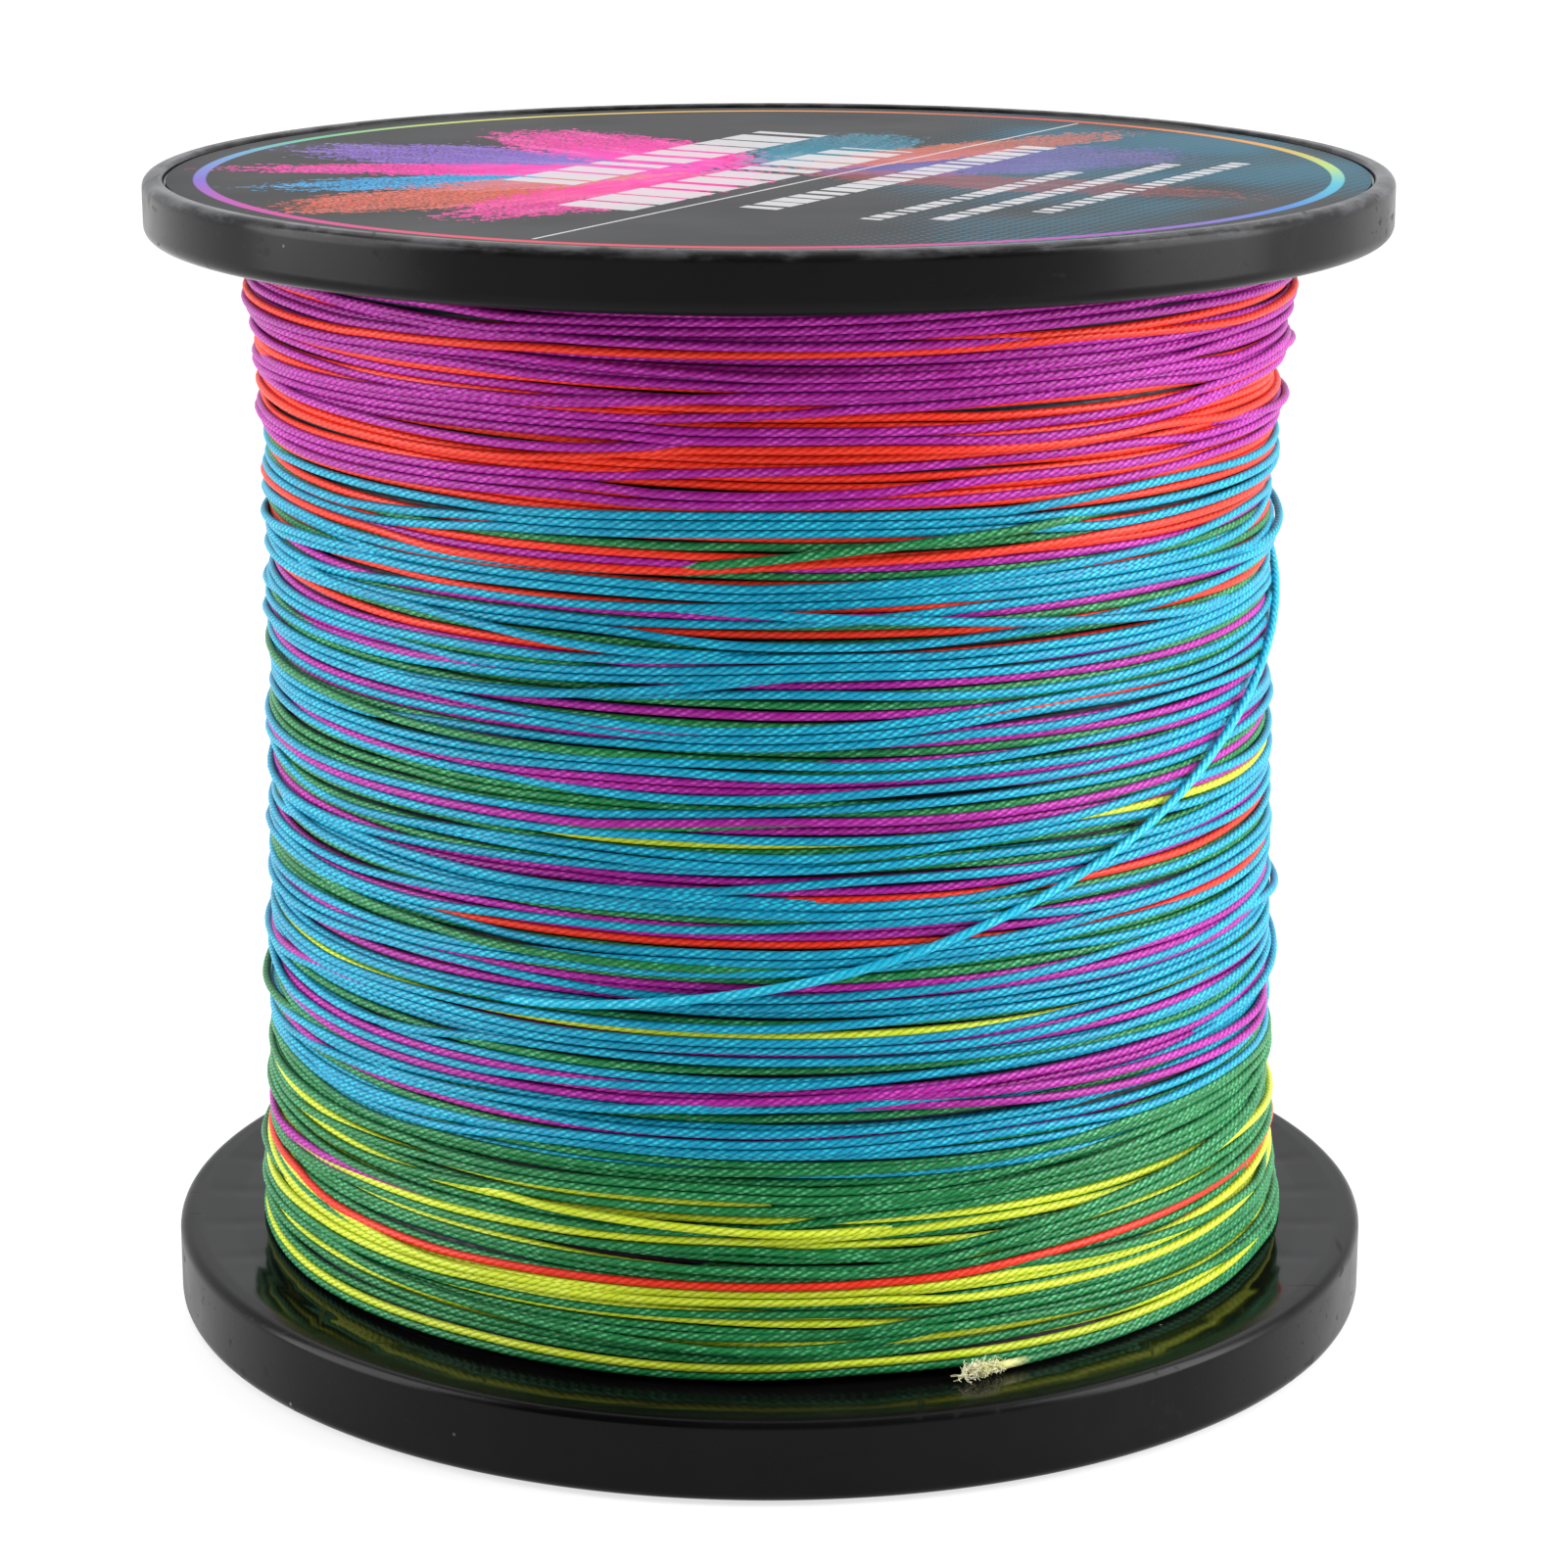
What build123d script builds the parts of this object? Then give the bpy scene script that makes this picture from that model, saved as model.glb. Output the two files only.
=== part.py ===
from build123d import *

import os
from math import cos, pi, radians, sin, tan

# Fishing line spool, wound full with braided line and standing on its lower flange.
# Millimetres. +Z is the spindle axis, and the origin is the centre of the base.

# Whole spool
FLANGE_RADIUS = 45.0
OVERALL_HEIGHT = 84.5

# Spindle bore, through both flanges and the barrel
BORE_RADIUS = 5.2
HUB_RADIUS = 8.0

# Upper flange: a web with a skirt below it and a rounded lip round the label
UPPER_RIM_HEIGHT = 4.2
UPPER_WEB_THICKNESS = 2.2
LABEL_RECESS_DEPTH = 0.5
LABEL_RECESS_RADIUS = 43.5
UPPER_SKIRT_WALL = 2.4

# Lower flange: a web on a deeper rim, ribbed underneath
LOWER_RIM_HEIGHT = 6.0
LOWER_WEB_THICKNESS = 2.1
LIP_HEIGHT = 0.2
LIP_WIDTH = 1.5
LOWER_SKIRT_WALL = 2.5
RIB_COUNT = 36
RIB_THICKNESS = 0.9
RIB_BOTTOM = 1.6
RIB_INNER_RADIUS = 28.0

# Core barrel, with the spindle tube in its middle
BARREL_RADIUS = 23.0
BARREL_WALL = 1.8
SPINDLE_TUBE_WALL = 1.8
BARREL_RIB_COUNT = 4
BARREL_RIB_THICKNESS = 1.5
SOCKET_DEPTH = 3.0
SOCKET_WALL = 1.6
SOCKET_CLEARANCE = 0.05

# Labels and tape
LABEL_THICKNESS = 0.2
LABEL_EDGE_GAP = 0.2
CARD_THICKNESS = 0.5
CARD_HOLE_RADIUS = 8.4
TAPE_THICKNESS = 0.12
TAPE_WIDTH = 12.0
TAPE_ANGLE = 55.0

# Wound line
LINE_DIAMETER = 0.62
LAYER_THICKNESS = 2 * LINE_DIAMETER
LAYER_GAP = 0.1
PACK_CLEARANCE = 0.25
END_CLEARANCE = 0.1
WOUND_RADIUS_BOTTOM = 38.8
WOUND_RADIUS_LOWER_THIRD = 37.9
WOUND_RADIUS_WAIST = 37.4
WOUND_RADIUS_UPPER_THIRD = 37.5
WOUND_RADIUS_TOP = 39.2
PURPLE_SHARE = 0.20
GREEN_SHARE = 0.20
RED_SHARE = 0.62

# Heights that follow from the sizes above
web_top = LOWER_RIM_HEIGHT - LIP_HEIGHT
web_underside = web_top - LOWER_WEB_THICKNESS
label_seat = OVERALL_HEIGHT - LABEL_RECESS_DEPTH
upper_web_underside = label_seat - UPPER_WEB_THICKNESS
upper_rim_bottom = OVERALL_HEIGHT - UPPER_RIM_HEIGHT
barrel_inner_radius = BARREL_RADIUS - BARREL_WALL
socket_outer_radius = barrel_inner_radius - SOCKET_CLEARANCE
socket_inner_radius = socket_outer_radius - SOCKET_WALL
wound_bottom = web_top + END_CLEARANCE
wound_top = upper_web_underside - END_CLEARANCE
wound_height = wound_top - wound_bottom


def turned(outline, rounds=()):
    """A solid of revolution about Z from (radius, height) points, with some corners rounded."""
    with BuildPart() as part:
        with BuildSketch(Plane.XZ) as section:
            with BuildLine():
                Polyline(*outline, close=True)
            make_face()
            for corner, radius in rounds:
                vertex = section.vertices().sort_by_distance((corner[0], corner[1], 0))[0]
                fillet(vertex, radius)
        revolve(axis=Axis.Z)
    return part.part


def ring(inner, outer, bottom, top):
    """A plain tube about Z."""
    tube = Cylinder(outer, top - bottom, align=(Align.CENTER, Align.CENTER, Align.MIN))
    hole = Cylinder(inner, top - bottom, align=(Align.CENTER, Align.CENTER, Align.MIN))
    return Pos(0, 0, bottom) * (tube - hole)


def upper_flange():
    """Web, outer skirt, label recess and the socket ring that centres it in the barrel."""
    skirt_inner = FLANGE_RADIUS - UPPER_SKIRT_WALL
    socket_bottom = upper_web_underside - SOCKET_DEPTH
    lip_outer = (FLANGE_RADIUS, OVERALL_HEIGHT)
    lip_inner = (LABEL_RECESS_RADIUS, OVERALL_HEIGHT)
    skirt_outer = (FLANGE_RADIUS, upper_rim_bottom)
    outline = [
        (BORE_RADIUS, label_seat),
        (LABEL_RECESS_RADIUS, label_seat),
        lip_inner,
        lip_outer,
        skirt_outer,
        (skirt_inner, upper_rim_bottom),
        (skirt_inner, upper_web_underside),
        (socket_outer_radius, upper_web_underside),
        (socket_outer_radius, socket_bottom),
        (socket_inner_radius, socket_bottom),
        (socket_inner_radius, upper_web_underside),
        (BORE_RADIUS, upper_web_underside),
    ]
    rounds = [
        (lip_outer, 0.9),
        (lip_inner, 0.4),
        (skirt_outer, 0.9),
        ((skirt_inner, upper_rim_bottom), 0.5),
        ((skirt_inner, upper_web_underside), 0.5),
    ]
    return turned(outline, rounds)


def lower_flange():
    """Web, deep rim with a low lip, hub, socket ring and radial ribs under the web."""
    skirt_inner = FLANGE_RADIUS - LOWER_SKIRT_WALL
    socket_top = web_top + SOCKET_DEPTH
    lip_start = FLANGE_RADIUS - LIP_WIDTH
    lip_foot = lip_start - 2 * LIP_HEIGHT
    rim_top = (FLANGE_RADIUS, LOWER_RIM_HEIGHT)
    outline = [
        (BORE_RADIUS, RIB_BOTTOM),
        (HUB_RADIUS, RIB_BOTTOM),
        (HUB_RADIUS, web_underside),
        (skirt_inner, web_underside),
        (skirt_inner, 0),
        (FLANGE_RADIUS, 0),
        rim_top,
        (lip_start, LOWER_RIM_HEIGHT),
        (lip_foot, web_top),
        (socket_outer_radius, web_top),
        (socket_outer_radius, socket_top),
        (socket_inner_radius, socket_top),
        (socket_inner_radius, web_top),
        (BORE_RADIUS, web_top),
    ]
    rounds = [
        (rim_top, 1.0),
        ((FLANGE_RADIUS, 0), 0.8),
        ((skirt_inner, 0), 0.5),
        ((skirt_inner, web_underside), 0.5),
    ]
    body = turned(outline, rounds)
    # Each rib runs a little way into the web and the rim, so that it fuses with them.
    overlap = 0.4
    length = skirt_inner + overlap - RIB_INNER_RADIUS
    height = web_underside + overlap - RIB_BOTTOM
    blank = Box(length, RIB_THICKNESS, height, align=(Align.MIN, Align.CENTER, Align.MIN))
    ribs = [loc * Pos(RIB_INNER_RADIUS, 0, RIB_BOTTOM) * blank for loc in PolarLocations(0, RIB_COUNT)]
    return body + ribs


def core_barrel():
    """The barrel that the line is wound on, tied to its spindle tube by ribs."""
    tube_radius = BORE_RADIUS + SPINDLE_TUBE_WALL
    barrel = ring(barrel_inner_radius, BARREL_RADIUS, web_top, upper_web_underside)
    tube = ring(BORE_RADIUS, tube_radius, web_top, upper_web_underside)
    # The ribs stop short of the ends, where the flanges' socket rings go in.
    rib_bottom = web_top + SOCKET_DEPTH + 0.3
    rib_top = upper_web_underside - SOCKET_DEPTH - 0.3
    start = tube_radius - 0.5
    length = barrel_inner_radius + 0.5 - start
    blank = Box(
        length, BARREL_RIB_THICKNESS, rib_top - rib_bottom, align=(Align.MIN, Align.CENTER, Align.MIN)
    )
    ribs = [loc * Pos(start, 0, rib_bottom) * blank for loc in PolarLocations(0, BARREL_RIB_COUNT)]
    return barrel + tube + ribs


def upper_label():
    """Printed disc in the upper recess. It also covers the bore."""
    disc = Cylinder(
        LABEL_RECESS_RADIUS - LABEL_EDGE_GAP,
        LABEL_THICKNESS,
        align=(Align.CENTER, Align.CENTER, Align.MIN),
    )
    return Pos(0, 0, label_seat) * disc


def lower_label():
    """Card disc glued under the ribs, with a hole round the hub."""
    outer = FLANGE_RADIUS - LOWER_SKIRT_WALL - LABEL_EDGE_GAP
    return ring(CARD_HOLE_RADIUS, outer, RIB_BOTTOM - CARD_THICKNESS, RIB_BOTTOM)


def anchor_tape():
    """Strip of tape that holds the start of the line to the barrel."""
    middle = (web_top + upper_web_underside) / 2
    with BuildPart() as tape:
        with BuildSketch(Plane.XZ):
            with Locations((BARREL_RADIUS, middle)):
                Rectangle(TAPE_THICKNESS, TAPE_WIDTH, align=(Align.MIN, Align.CENTER))
        revolve(axis=Axis.Z, revolution_arc=TAPE_ANGLE)
    return tape.part


def wound_outline(inset):
    """Points up the side of the full winding, which swells where it meets each flange."""
    stations = [
        (WOUND_RADIUS_BOTTOM, 0.0),
        (WOUND_RADIUS_LOWER_THIRD, 0.2),
        (WOUND_RADIUS_WAIST, 0.5),
        (WOUND_RADIUS_UPPER_THIRD, 0.85),
        (WOUND_RADIUS_TOP, 1.0),
    ]
    return [(radius - inset, wound_bottom + share * wound_height) for radius, share in stations]


def wound_solid(inner_inset, outer_inset):
    """The winding between two depths below its surface, as a ring about Z."""
    outer = wound_outline(outer_inset)
    inner = wound_outline(inner_inset)
    with BuildPart() as winding:
        with BuildSketch(Plane.XZ):
            with BuildLine():
                Spline(*outer)
                Line(outer[-1], inner[-1])
                Spline(*inner[::-1])
                Line(inner[0], outer[0])
            make_face()
        revolve(axis=Axis.Z)
    return winding.part


def stretch(layer, low_share, high_share):
    """The part of a layer between two shares of the winding's height."""
    bottom = wound_bottom + low_share * wound_height
    height = (high_share - low_share) * wound_height
    slab = Cylinder(FLANGE_RADIUS, height, align=(Align.CENTER, Align.CENTER, Align.MIN))
    return layer & (Pos(0, 0, bottom) * slab)


def inner_pack():
    """All of the wound line below the two outer layers."""
    depth = 2 * LAYER_THICKNESS + 2 * LAYER_GAP
    outer = wound_outline(depth)
    bore = BARREL_RADIUS + PACK_CLEARANCE
    with BuildPart() as pack:
        with BuildSketch(Plane.XZ):
            with BuildLine():
                Spline(*outer)
                Polyline(outer[-1], (bore, wound_top), (bore, wound_bottom), outer[0])
            make_face()
        revolve(axis=Axis.Z)
    return pack.part


def corner_radii(points):
    """For each corner of a route, 0.45 of the shorter run over the tangent of half the turn."""
    radii = []
    for before, here, after in zip(points, points[1:], points[2:]):
        arriving = Vector(*here) - Vector(*before)
        leaving = Vector(*after) - Vector(*here)
        turn = radians(arriving.get_angle(leaving))
        radii.append(0.45 * min(arriving.length, leaving.length) / tan(turn / 2))
    return radii


def line_tube(name, points):
    """A length of the line along straight runs joined by tangent arcs."""
    radii = corner_radii(points)
    path = FilletPolyline(*points, radius=radii)
    end = path % 0
    section = Plane(origin=path @ 0, z_dir=end) * Circle(LINE_DIAMETER / 2)
    tube = sweep(section, path=path)
    expected = pi * (LINE_DIAMETER / 2) ** 2 * path.length
    print(name, "length", round(path.length, 2), "arc radii", [round(r, 1) for r in radii])
    print(name, "volume", round(tube.volume, 4), "section x length", round(expected, 4))
    return tube


def around(radius, angle, height):
    """A point at an angle about Z, counted from -Y towards +X."""
    return (radius * sin(radians(angle)), -radius * cos(radians(angle)), height)


def line_crossing():
    """The loose part-turn that lies slantwise over the winding."""
    route = [
        around(38.16, 118.0, 58.9),
        around(38.26, 106.5, 58.3),
        around(38.28, 95.0, 56.9),
        around(38.26, 83.0, 54.4),
        around(38.24, 71.0, 51.0),
        around(38.22, 58.5, 47.0),
        around(38.24, 46.0, 43.0),
        around(38.26, 33.5, 39.9),
        around(38.28, 21.0, 37.2),
        around(38.30, 8.5, 35.0),
        around(38.30, -4.0, 33.5),
        around(38.30, -16.5, 32.3),
        around(38.28, -29.0, 31.6),
        around(38.20, -40.5, 31.4),
    ]
    return line_tube("line_crossing", route)


def line_tag():
    """The last part-turn of the line, whose frayed end lies loose beside the lower flange."""
    route = [
        around(39.42, 73.0, 6.28),
        around(39.50, 62.5, 6.24),
        around(39.48, 52.0, 6.22),
        around(39.50, 42.0, 6.22),
        around(39.56, 32.0, 6.24),
        around(39.80, 22.5, 6.30),
    ]
    return line_tube("line_tag", route)


def build():
    outer_layer = wound_solid(LAYER_THICKNESS, 0)
    second_layer = wound_solid(2 * LAYER_THICKNESS + LAYER_GAP, LAYER_THICKNESS + LAYER_GAP)
    return {
        "lower_flange": lower_flange(),
        "upper_flange": upper_flange(),
        "core_barrel": core_barrel(),
        "upper_label": upper_label(),
        "lower_label": lower_label(),
        "anchor_tape": anchor_tape(),
        "line_inner_pack": inner_pack(),
        "line_yellow_stretch": stretch(second_layer, 0, 1 - RED_SHARE),
        "line_red_stretch": stretch(second_layer, 1 - RED_SHARE, 1),
        "line_green_stretch": stretch(outer_layer, 0, GREEN_SHARE),
        "line_blue_stretch": stretch(outer_layer, GREEN_SHARE, 1 - PURPLE_SHARE),
        "line_purple_stretch": stretch(outer_layer, 1 - PURPLE_SHARE, 1),
        "line_crossing": line_crossing(),
        "line_tag": line_tag(),
    }


os.makedirs("parts", exist_ok=True)
for node, shape in build().items():
    export_step(shape, f"parts/{node}.step")
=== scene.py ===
import math
import bpy
import numpy as np
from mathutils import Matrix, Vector


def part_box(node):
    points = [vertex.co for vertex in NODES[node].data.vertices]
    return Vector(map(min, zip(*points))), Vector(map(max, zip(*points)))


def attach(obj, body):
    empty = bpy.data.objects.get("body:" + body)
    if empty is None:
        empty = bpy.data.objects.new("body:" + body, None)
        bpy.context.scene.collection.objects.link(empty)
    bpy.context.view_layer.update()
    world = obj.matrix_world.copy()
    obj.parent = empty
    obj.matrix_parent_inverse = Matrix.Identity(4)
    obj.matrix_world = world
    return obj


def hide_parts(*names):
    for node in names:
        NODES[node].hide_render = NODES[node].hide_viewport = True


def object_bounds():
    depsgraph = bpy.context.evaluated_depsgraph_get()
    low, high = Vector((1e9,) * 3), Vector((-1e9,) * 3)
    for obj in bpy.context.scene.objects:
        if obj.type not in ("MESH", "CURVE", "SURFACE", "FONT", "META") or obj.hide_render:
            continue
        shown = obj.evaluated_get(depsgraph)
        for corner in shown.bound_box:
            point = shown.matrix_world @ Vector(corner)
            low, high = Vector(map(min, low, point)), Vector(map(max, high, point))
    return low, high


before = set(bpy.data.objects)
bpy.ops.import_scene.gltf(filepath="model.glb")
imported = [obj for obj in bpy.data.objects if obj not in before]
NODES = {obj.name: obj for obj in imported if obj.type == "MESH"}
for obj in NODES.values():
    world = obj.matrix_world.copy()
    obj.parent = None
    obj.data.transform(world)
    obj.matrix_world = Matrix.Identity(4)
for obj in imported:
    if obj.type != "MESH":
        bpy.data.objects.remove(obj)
cad_low, cad_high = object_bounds()

MM = 0.001
FLANGE_DIAMETER = cad_high.x - cad_low.x
FLANGE_RADIUS = FLANGE_DIAMETER / 2
LINE_RADIUS = 0.31 * MM
STEPS = 108                     # points along one turn of line
STEP_RUN = 2.2 * MM             # about the length of line from one to the next


# ---------------------------------------------------------------- camera

CAMERA_PLACE = (0.012, -3.4828, 1.3489)     # in flange diameters
CAMERA_DIP = 0.2593                         # how far it looks down, in radians
SENSOR_WIDTH, FOCAL_LENGTH = 36.0, 99.1


def make_camera():
    data = bpy.data.cameras.new("studio_camera")
    data.sensor_width = SENSOR_WIDTH
    data.lens = FOCAL_LENGTH
    data.clip_start = 0.01
    data.clip_end = 20.0
    camera = bpy.data.objects.new("studio_camera", data)
    camera.location = tuple(share * FLANGE_DIAMETER for share in CAMERA_PLACE)
    camera.rotation_euler = (math.pi / 2 - CAMERA_DIP, 0.0, 0.0)
    bpy.context.scene.collection.objects.link(camera)
    bpy.context.scene.camera = camera


# ---------------------------------------------------------------- meshes

def add_mesh(name, verts, faces, material, smooth=True, uvs=None):
    mesh = bpy.data.meshes.new(name)
    mesh.from_pydata(np.asarray(verts).tolist(), [], faces)
    mesh.polygons.foreach_set("use_smooth", [smooth] * len(mesh.polygons))
    if uvs is not None:
        layer = mesh.uv_layers.new(name="strand")
        layer.data.foreach_set("uv", np.asarray(uvs, np.float32).ravel())
    mesh.materials.append(material)
    mesh.update()
    piece = bpy.data.objects.new(name, mesh)
    bpy.context.scene.collection.objects.link(piece)
    return piece


class Tubes:
    """Collects many tubes into one mesh. Each has a UV that runs in millimetres along it and from 0 to 1
    around it."""

    def __init__(self, sides):
        self.sides = sides
        self.verts = []
        self.faces = []
        self.uvs = []
        self.count = 0

    def add(self, centres, outward, radii, start=0.0):
        centres = np.asarray(centres, float)
        tangent = np.gradient(centres, axis=0)
        tangent /= np.linalg.norm(tangent, axis=1)[:, None]
        side = np.cross(tangent, outward)
        side /= np.linalg.norm(side, axis=1)[:, None]
        up = np.cross(side, tangent)
        turn = math.pi + 2 * math.pi * np.arange(self.sides) / self.sides
        cos, sin = np.cos(turn)[None, :, None], np.sin(turn)[None, :, None]
        ring = cos * up[:, None, :] + sin * side[:, None, :]
        radii = np.broadcast_to(np.asarray(radii, float), (len(centres),))
        verts = centres[:, None, :] + radii[:, None, None] * ring
        n, s, base = len(centres), self.sides, self.count
        i = np.repeat(np.arange(n - 1), s)
        j = np.tile(np.arange(s), n - 1)
        k = (j + 1) % s
        quads = base + np.stack([i * s + j, i * s + k, (i + 1) * s + k, (i + 1) * s + j], axis=1)
        run = np.linalg.norm(np.diff(centres, axis=0), axis=1)
        along = (start + np.concatenate([[0.0], np.cumsum(run)])) / MM
        u0, u1, v0, v1 = along[i], along[i + 1], j / s, (j + 1) / s
        uv = np.stack([u0, v0, u0, v1, u1, v1, u1, v0], axis=1).reshape(-1, 2)
        caps = [list(range(base + s - 1, base - 1, -1)), list(range(base + (n - 1) * s, base + n * s))]
        cap_uv = np.array([[along[0], 0.5]] * s + [[along[-1], 0.5]] * s)
        self.verts.append(verts.reshape(-1, 3))
        self.faces.extend(quads.tolist())
        self.faces.extend(caps)
        self.uvs.append(uv)
        self.uvs.append(cap_uv)
        self.count += n * s

    def build(self, name, material):
        uvs = np.concatenate(self.uvs)
        return add_mesh(name, np.concatenate(self.verts), self.faces, material, uvs=uvs)


def turned(profile, segments):
    """The vertices and faces of a closed (radius, height) profile turned about Z."""
    profile = np.asarray(profile, float)
    n = len(profile)
    angle = 2 * math.pi * np.arange(segments) / segments
    verts = np.stack([
        profile[None, :, 0] * np.cos(angle)[:, None],
        profile[None, :, 0] * np.sin(angle)[:, None],
        np.broadcast_to(profile[None, :, 1], (segments, n)),
    ], axis=2).reshape(-1, 3)
    i = np.repeat(np.arange(segments), n)
    j = np.tile(np.arange(n), segments)
    a, b = (i + 1) % segments, (j + 1) % n
    faces = np.stack([i * n + j, a * n + j, a * n + b, i * n + b], axis=1).tolist()
    return verts, faces


def rounded(corners):
    """A closed outline in metres from corners of (radius, height, rounding) in millimetres. Each rounding
    has a guard point just before and after it, which keeps the flats flat under smooth shading."""
    guard, small = 0.15, 0.3
    corners = np.asarray(corners, float)
    here = corners[:, :2]
    back, on = np.roll(here, 1, axis=0) - here, np.roll(here, -1, axis=0) - here
    back_run, on_run = np.linalg.norm(back, axis=1), np.linalg.norm(on, axis=1)
    back, on = back / back_run[:, None], on / on_run[:, None]
    half = np.arccos(np.clip((back * on).sum(axis=1), -1.0, 1.0)) / 2
    reach = corners[:, 2] / np.tan(half)
    spare_back = back_run - reach - np.roll(reach, 1)
    spare_on = on_run - reach - np.roll(reach, -1)
    outline = []
    for k, (radius, height, rounding) in enumerate(corners):
        middle = (back[k] + on[k]) / np.linalg.norm(back[k] + on[k])
        centre = here[k] + middle * rounding / math.sin(half[k])
        first = here[k] + back[k] * reach[k] - centre
        last = here[k] + on[k] * reach[k] - centre
        begin = math.atan2(first[1], first[0])
        sweep = (math.atan2(last[1], last[0]) - begin + math.pi) % (2 * math.pi) - math.pi
        steps = 2 if rounding < small else 7
        outline.append(centre + first + back[k] * min(guard, 0.3 * spare_back[k]))
        for turn in begin + sweep * np.linspace(0, 1, steps + 1):
            outline.append(centre + rounding * np.array([math.cos(turn), math.sin(turn)]))
        outline.append(centre + last + on[k] * min(guard, 0.3 * spare_on[k]))
    return np.array(outline) * MM


# ---------------------------------------------------------------- materials

class Shade:
    """Short names for the nodes of one Principled material."""

    def __init__(self, name):
        self.material = bpy.data.materials.new(name)
        self.material.use_nodes = True
        self.tree = self.material.node_tree
        self.shader = self.tree.nodes["Principled BSDF"]

    def put(self, socket, value):
        if isinstance(value, bpy.types.NodeSocket):
            self.tree.links.new(value, socket)
        else:
            socket.default_value = value

    def add(self, kind, **settings):
        node = self.tree.nodes.new(kind)
        for key, value in settings.items():
            setattr(node, key, value)
        return node

    def set(self, **values):
        for key, value in values.items():
            self.put(self.shader.inputs[key.replace("_", " ")], value)

    def math(self, operation, *values):
        node = self.add("ShaderNodeMath", operation=operation)
        for socket, value in zip(node.inputs, values):
            self.put(socket, value)
        return node.outputs[0]

    def mix(self, factor, a, b):
        node = self.add("ShaderNodeMix", data_type="RGBA")
        self.put(node.inputs[0], factor)
        self.put(node.inputs[6], (*a, 1.0) if isinstance(a, tuple) else a)
        self.put(node.inputs[7], (*b, 1.0) if isinstance(b, tuple) else b)
        return node.outputs[2]

    def length(self, a, b):
        return self.math("SQRT", self.math("ADD", self.math("MULTIPLY", a, a), self.math("MULTIPLY", b, b)))

    def band(self, value, low, high, to_low=0.0, to_high=1.0, kind="SMOOTHSTEP"):
        """Goes from to_low to to_high while the value goes from low to high."""
        node = self.add("ShaderNodeMapRange", interpolation_type=kind)
        for socket, number in zip(node.inputs, (value, low, high, to_low, to_high)):
            self.put(socket, number)
        return node.outputs[0]

    def ramp(self, value, stops, kind="LINEAR"):
        node = self.add("ShaderNodeValToRGB")
        node.color_ramp.interpolation = kind
        elements = node.color_ramp.elements
        while len(elements) < len(stops):
            elements.new(0.5)
        for element, (where, colour) in zip(elements, stops):
            element.position = where
            element.color = (*colour, 1.0)
        self.put(node.inputs[0], value)
        return node.outputs[0]

    def noise(self, vector, scale, detail=2.0, roughness=0.5):
        node = self.add("ShaderNodeTexNoise")
        self.put(node.inputs["Vector"], vector)
        self.put(node.inputs["Scale"], scale)
        self.put(node.inputs["Detail"], detail)
        self.put(node.inputs["Roughness"], roughness)
        return node.outputs[0]

    def cells(self, vector, scale):
        """The distance to the middle of the nearest of scattered cells."""
        node = self.add("ShaderNodeTexVoronoi")
        self.put(node.inputs["Vector"], vector)
        self.put(node.inputs["Scale"], scale)
        return node.outputs["Distance"]

    def place(self):
        """Object coordinates in metres, whole and split."""
        whole = self.add("ShaderNodeTexCoord").outputs["Object"]
        parts = self.add("ShaderNodeSeparateXYZ")
        self.put(parts.inputs[0], whole)
        return whole, parts.outputs[0], parts.outputs[1], parts.outputs[2]

    def join(self, x, y, z=0.0):
        node = self.add("ShaderNodeCombineXYZ")
        for socket, value in zip(node.inputs, (x, y, z)):
            self.put(socket, value)
        return node.outputs[0]

    def stretch(self, vector, scale, rotation=(0.0, 0.0, 0.0)):
        """Coordinates that give a noise different scales along three turned axes."""
        node = self.add("ShaderNodeMapping")
        self.put(node.inputs["Vector"], vector)
        self.put(node.inputs["Rotation"], rotation)
        self.put(node.inputs["Scale"], scale)
        return node.outputs[0]

    def bump(self, height, distance, strength):
        node = self.add("ShaderNodeBump")
        self.put(node.inputs["Height"], height)
        self.put(node.inputs["Distance"], distance)
        self.put(node.inputs["Strength"], strength)
        return node.outputs[0]


BRAID_LAY = 0.78                # millimetres along the strand in which the braid repeats
CARRIERS = 8
BARE_LINE = (0.66, 0.66, 0.26)


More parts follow.
